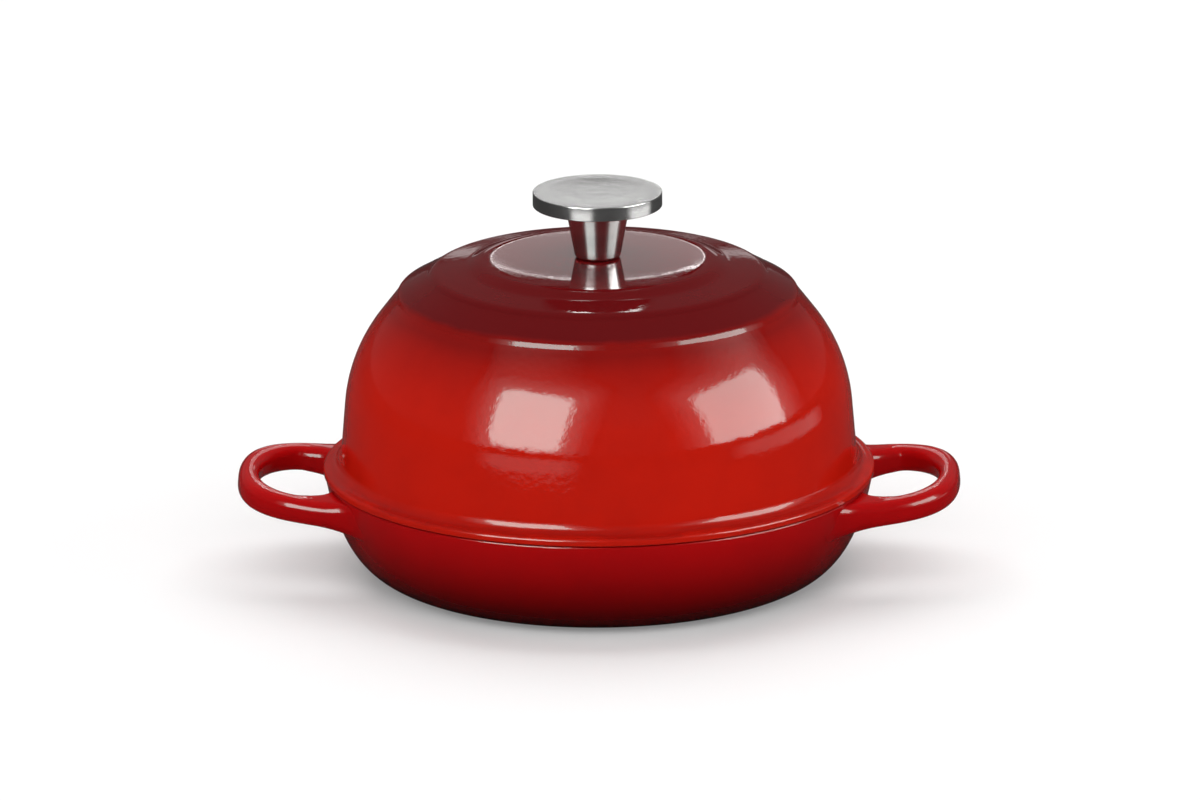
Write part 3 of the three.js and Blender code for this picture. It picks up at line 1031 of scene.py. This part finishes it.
def make_cap(sizes):
    """The knob's flat cap, with a shallow dish in its top and a socket for the spigot below."""
    socket = sizes.spigot + sizes.spigot_gap
    corners = [
        (0, cap_low.z + sizes.spigot_height),
        (socket, cap_low.z + sizes.spigot_height),
        (socket, cap_low.z),
        (cap_high.x, cap_low.z, sizes.cap_chamfer),
        (cap_high.x, cap_high.z, sizes.cap_chamfer),
        (sizes.cap_dish, cap_high.z, 2 * sizes.cap_chamfer),
    ]
    for i in reversed(range(dish_points)):
        share = i / dish_points
        corners.append((sizes.cap_dish * share, cap_high.z - sizes.cap_dish_depth * (1 - share ** 2)))
    return turn_piece("cap_turning", corners, cap_steps, "Turned steel")


def make_washer(sizes):
    """The flat washer under the lid's crown."""
    hole = sizes.thread_radius
    half_way = (hole, (washer_low.z + washer_high.z) / 2)
    return turn_piece("washer_disc", [
        half_way,
        (hole, washer_low.z, sizes.washer_edge),
        (washer_high.x, washer_low.z, sizes.washer_edge),
        (washer_high.x, washer_high.z, sizes.washer_edge),
        (hole, washer_high.z, sizes.washer_edge),
        half_way,
    ], fixing_steps, "Zinc plate")


def make_screw(sizes):
    """The slotted screw that comes up through the lid into the stem."""
    head_top = screw_low.z + sizes.head_height
    tip = sizes.shank / 3
    piece = turn_piece("screw_turning", [
        (0, screw_low.z),
        (screw_high.x, screw_low.z, sizes.head_round),
        (screw_high.x, head_top),
        (sizes.shank, head_top),
        (sizes.shank, screw_high.z - tip),
        (sizes.shank - tip, screw_high.z),
        (0, screw_high.z),
    ], fixing_steps, "Zinc plate")
    cut_slot(piece, sizes)
    return piece


def cut_slot(piece, sizes):
    """Cuts the screwdriver's slot across the underside of the head."""
    bpy.ops.object.select_all(action="DESELECT")
    bpy.ops.mesh.primitive_cube_add(size=1, location=(0, 0, screw_low.z))
    cutter = bpy.context.object
    cutter.scale = (4 * screw_high.x, sizes.slot_width, 2 * sizes.slot_depth)
    bpy.ops.object.select_all(action="DESELECT")
    piece.select_set(True)
    bpy.context.view_layer.objects.active = piece
    cut = piece.modifiers.new("slot", "BOOLEAN")
    cut.object = cutter
    cut.operation = "DIFFERENCE"
    bpy.ops.object.modifier_apply(modifier=cut.name)
    bpy.data.objects.remove(cutter)
    smooth_shell(piece)


class OVEN_OT_knob(bpy.types.Operator):
    """Models the knob's stem and cap"""

    bl_idname = "oven.knob"
    bl_label = "Knob"

    def execute(self, context):
        sizes = context.scene.oven_knob
        settle(make_stem(sizes), "lid", "knob_stem")
        settle(make_cap(sizes), "lid", "knob_cap")
        return {"FINISHED"}


class OVEN_OT_fixings(bpy.types.Operator):
    """Models the screw and the washer that hold the knob"""

    bl_idname = "oven.fixings"
    bl_label = "Fixings"

    def execute(self, context):
        sizes = context.scene.oven_knob
        settle(make_washer(sizes), "lid", "knob_washer")
        settle(make_screw(sizes), "lid", "knob_screw")
        return {"FINISHED"}


# The studio

# What the lamps and the glowing cards face, how far off the lamps stand, and how far under the foot lie
# the floor and the dark card
lamp_aim = Vector((0, 0, 0.09))
lamp_distance = 2.2
floor_drop = 0.0003
card_drop = 0.0001


def direction(azimuth, elevation):
    """A unit vector towards a place round the oven, where azimuth 0 is the front and turns to the right."""
    flat = math.cos(elevation)
    return Vector((flat * math.sin(azimuth), -flat * math.cos(azimuth), math.sin(elevation)))


def set_round_oven(item, name, azimuth, elevation, distance):
    """Names a lamp or a card and stands it facing the oven, at angles in degrees."""
    towards = direction(math.radians(azimuth), math.radians(elevation))
    item.name = name
    item.location = lamp_aim + towards * distance
    item.rotation_euler = towards.to_track_quat("Z", "Y").to_euler()


def show_in_gloss_only(card):
    """Hides a studio card from everything but mirrored rays."""
    card.visible_camera = False
    card.visible_diffuse = False
    card.visible_shadow = False


def make_matt(name, grey):
    """A matt grey finish for the studio's own things."""
    material, tree, shader, place = new_finish(name)
    shader.inputs["Base Color"].default_value = (grey, grey, grey, 1)
    shader.inputs["Roughness"].default_value = 1.0
    shader.inputs["Specular IOR Level"].default_value = 0.0
    return material, tree, shader, place


def add_disc(name, radius, height):
    """A filled disc for the studio."""
    bpy.ops.object.select_all(action="DESELECT")
    bpy.ops.mesh.primitive_circle_add(
        vertices=studio_disc_sides, radius=radius, fill_type="NGON", location=(0, 0, height)
    )
    disc = bpy.context.object
    disc.name = name
    return disc


def add_panel(name, azimuth, elevation, distance, width, height, radiance, corner, stops):
    """A glowing card, seen only in gloss, with a brightness for steps from its middle, 0, to its edge, 1.

    A corner of 2 makes it an ellipse, and a higher one squares it.
    """
    bpy.ops.object.select_all(action="DESELECT")
    bpy.ops.mesh.primitive_plane_add(size=2)
    panel = bpy.context.object
    set_round_oven(panel, name, azimuth, elevation, distance)
    panel.scale = (width / 2, height / 2, 1)
    show_in_gloss_only(panel)
    material, tree, shader, place = make_matt(name, 0.0)
    apart = tree.nodes.new("ShaderNodeSeparateXYZ")
    tree.links.new(place, apart.inputs[0])
    across = add_math(tree, "POWER", add_math(tree, "ABSOLUTE", apart.outputs["X"]), corner)
    along = add_math(tree, "POWER", add_math(tree, "ABSOLUTE", apart.outputs["Y"]), corner)
    step_out = add_math(tree, "POWER", add_math(tree, "ADD", across, along), 1 / corner)
    greys = [(step, (light, light, light)) for step, light in stops]
    tree.links.new(add_ramp(tree, step_out, greys), shader.inputs["Emission Color"])
    shader.inputs["Emission Strength"].default_value = radiance
    panel.data.materials.append(material)


def add_lamp(name, azimuth, elevation, width, height, radiance):
    """A soft box that faces the oven and lights it without showing in its gloss, given its brightness."""
    bpy.ops.object.light_add(type="AREA")
    lamp = bpy.context.object
    set_round_oven(lamp, name, azimuth, elevation, lamp_distance)
    lamp.data.shape = "RECTANGLE"
    lamp.data.size = width
    lamp.data.size_y = height
    lamp.data.energy = radiance * math.pi * width * height
    lamp.visible_camera = False
    lamp.visible_glossy = False


def make_camera(settings):
    """A long lens at the photograph's angle, with its middle on the aim."""
    back = direction(settings.azimuth, settings.elevation)
    level = Vector((math.cos(settings.azimuth), math.sin(settings.azimuth), 0))
    up = back.cross(level)
    right = level * math.cos(settings.roll) - up * math.sin(settings.roll)
    top = back.cross(right)
    bpy.ops.object.camera_add()
    camera = bpy.context.object
    turned = Matrix((right, top, back)).transposed().to_4x4()
    camera.matrix_world = Matrix.Translation(Vector(settings.aim) + back * settings.distance) @ turned
    camera.data.lens = camera.data.sensor_width * settings.distance / settings.frame_width
    camera.data.clip_end = 4 * settings.distance
    bpy.context.scene.camera = camera


def make_floor(settings):
    """A white round floor, just under the foot, that takes the oven's shadow and is clear from below."""
    floor = add_disc("studio_floor", settings.floor_radius, -floor_drop)
    material, tree, shader, _ = make_matt("Studio floor", settings.floor_grey)
    ray = tree.nodes.new("ShaderNodeLightPath")
    mirrored = add_math(tree, "MAXIMUM", ray.outputs["Is Glossy Ray"], ray.outputs["Is Transmission Ray"])
    seen = add_math(tree, "MAXIMUM", ray.outputs["Is Camera Ray"], mirrored)
    shader.inputs["Emission Color"].default_value = (1, 1, 1, 1)
    glow = add_math(tree, "MULTIPLY", seen, settings.floor_glow)
    tree.links.new(glow, shader.inputs["Emission Strength"])
    side = tree.nodes.new("ShaderNodeNewGeometry")
    above = add_math(tree, "SUBTRACT", 1.0, side.outputs["Backfacing"])
    tree.links.new(above, shader.inputs["Alpha"])
    floor.data.materials.append(material)


def make_dark_card(settings):
    """A dark card with a low rim, between oven and floor, seen only in gloss, to deepen the glaze."""
    card = add_disc("studio_card", settings.card_radius, -card_drop)
    bpy.ops.object.mode_set(mode="EDIT")
    bpy.ops.mesh.select_all(action="SELECT")
    bpy.ops.mesh.extrude_edges_move(TRANSFORM_OT_translate={"value": (0, 0, settings.card_height)})
    bpy.ops.object.mode_set(mode="OBJECT")
    show_in_gloss_only(card)
    card.data.materials.append(make_matt("Studio card", settings.card_grey)[0])


def make_surroundings(settings):
    """A dim even room that is white down at the horizon, where the floor ends."""
    white_up_to = 0.022
    room_from = 0.035
    world = bpy.data.worlds.new("Studio")
    world.use_nodes = True
    tree = world.node_tree
    background = tree.nodes["Background"]
    background.inputs["Color"].default_value = (1, 1, 1, 1)
    place = tree.nodes.new("ShaderNodeTexCoord")
    apart = tree.nodes.new("ShaderNodeSeparateXYZ")
    tree.links.new(place.outputs["Generated"], apart.inputs[0])
    fade = add_range(tree, apart.outputs["Z"], white_up_to, room_from, 1.0, settings.room)
    tree.links.new(fade, background.inputs["Strength"])
    bpy.context.scene.world = world
    bpy.context.scene.view_settings.view_transform = "Standard"


class OVEN_OT_stage(bpy.types.Operator):
    """Sets up the floor, the cards, the lamps and the camera"""

    bl_idname = "oven.stage"
    bl_label = "Studio"

    def execute(self, context):
        settings = context.scene.oven_stage
        make_surroundings(settings)
        make_floor(settings)
        make_dark_card(settings)
        haze = [(0.0, 1.0), (0.44, 1.0), (0.52, 0.15), (0.75, 0.04), (1.0, 0.0)]
        rimmed = [(0.0, 0.072), (0.965, 0.072), (0.975, 0.9), (0.985, 0.9), (1.0, 0.0)]
        faded = [(0.0, 1.0), (0.6, 1.0), (1.0, 0.0)]
        add_panel(
            "shine_left", azimuth=-31.2, elevation=24.6, distance=1.3,
            width=1.6, height=1.8, radiance=19.0, corner=8, stops=haze,
        )
        add_panel(
            "shine_right", azimuth=72.6, elevation=17.0, distance=1.5,
            width=2.3, height=2.3, radiance=14.0, corner=8, stops=haze,
        )
        add_panel(
            "shine_crown", azimuth=181.5, elevation=16.85, distance=1.8,
            width=0.202, height=0.272, radiance=12.0, corner=2, stops=rimmed,
        )
        for name, azimuth in (("shine_back_left", 186), ("shine_back_right", 174)):
            add_panel(
                name, azimuth, elevation=10.0, distance=1.8,
                width=0.18, height=0.18, radiance=0.9, corner=3, stops=faded,
            )
        low_shines = (("shine_low_left", -26, 0.3, 1.6), ("shine_low_right", 82, 0.4, 1.4))
        for name, azimuth, width, radiance in low_shines:
            add_panel(
                name, azimuth, elevation=-3.3, distance=0.38,
                width=width, height=0.054, radiance=radiance, corner=6, stops=faded,
            )
        add_lamp("light_left", azimuth=-75, elevation=25, width=1.4, height=1.4, radiance=1.5)
        add_lamp("light_right", azimuth=75, elevation=25, width=1.4, height=1.4, radiance=1.7)
        add_lamp("light_front", azimuth=3, elevation=38, width=2.4, height=1.2, radiance=2.9)
        add_lamp("light_back", azimuth=180, elevation=62, width=3.0, height=2.4, radiance=2.6)
        make_camera(settings)
        return {"FINISHED"}


class OVEN_PT_panel(bpy.types.Panel):
    """Lists the oven's pieces and the studio"""

    bl_label = "Bread oven"
    bl_idname = "OVEN_PT_panel"
    bl_space_type = "VIEW_3D"
    bl_region_type = "UI"
    bl_category = "Bread oven"

    def draw(self, context):
        column = self.layout.column()
        for operator in operators:
            column.operator(operator.bl_idname)
        for group in settings_places:
            box = self.layout.box()
            settings = getattr(context.scene, group)
            for name in settings.__annotations__:
                box.prop(settings, name)


operators = (OVEN_OT_pan, OVEN_OT_handles, OVEN_OT_lid, OVEN_OT_knob, OVEN_OT_fixings, OVEN_OT_stage)
settings_places = {
    "oven_pan": PanSizes,
    "oven_lid": LidSizes,
    "oven_knob": KnobSizes,
    "oven_finish": FinishSettings,
    "oven_stage": StageSettings,
}


def register():
    """Registers the settings, the operators and the panel."""
    for group in settings_places.values():
        bpy.utils.register_class(group)
    for place, group in settings_places.items():
        setattr(bpy.types.Scene, place, PointerProperty(type=group))
    for operator in operators:
        bpy.utils.register_class(operator)
    bpy.utils.register_class(OVEN_PT_panel)


def unregister():
    """Takes them all out again."""
    bpy.utils.unregister_class(OVEN_PT_panel)
    for operator in reversed(operators):
        bpy.utils.unregister_class(operator)
    for place, group in settings_places.items():
        delattr(bpy.types.Scene, place)
        bpy.utils.unregister_class(group)


def main():
    """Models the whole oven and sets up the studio."""
    register()
    bpy.ops.oven.pan()
    bpy.ops.oven.handles()
    bpy.ops.oven.lid()
    bpy.ops.oven.knob()
    bpy.ops.oven.fixings()
    bpy.ops.oven.stage()


if __name__ == "__main__":
    main()
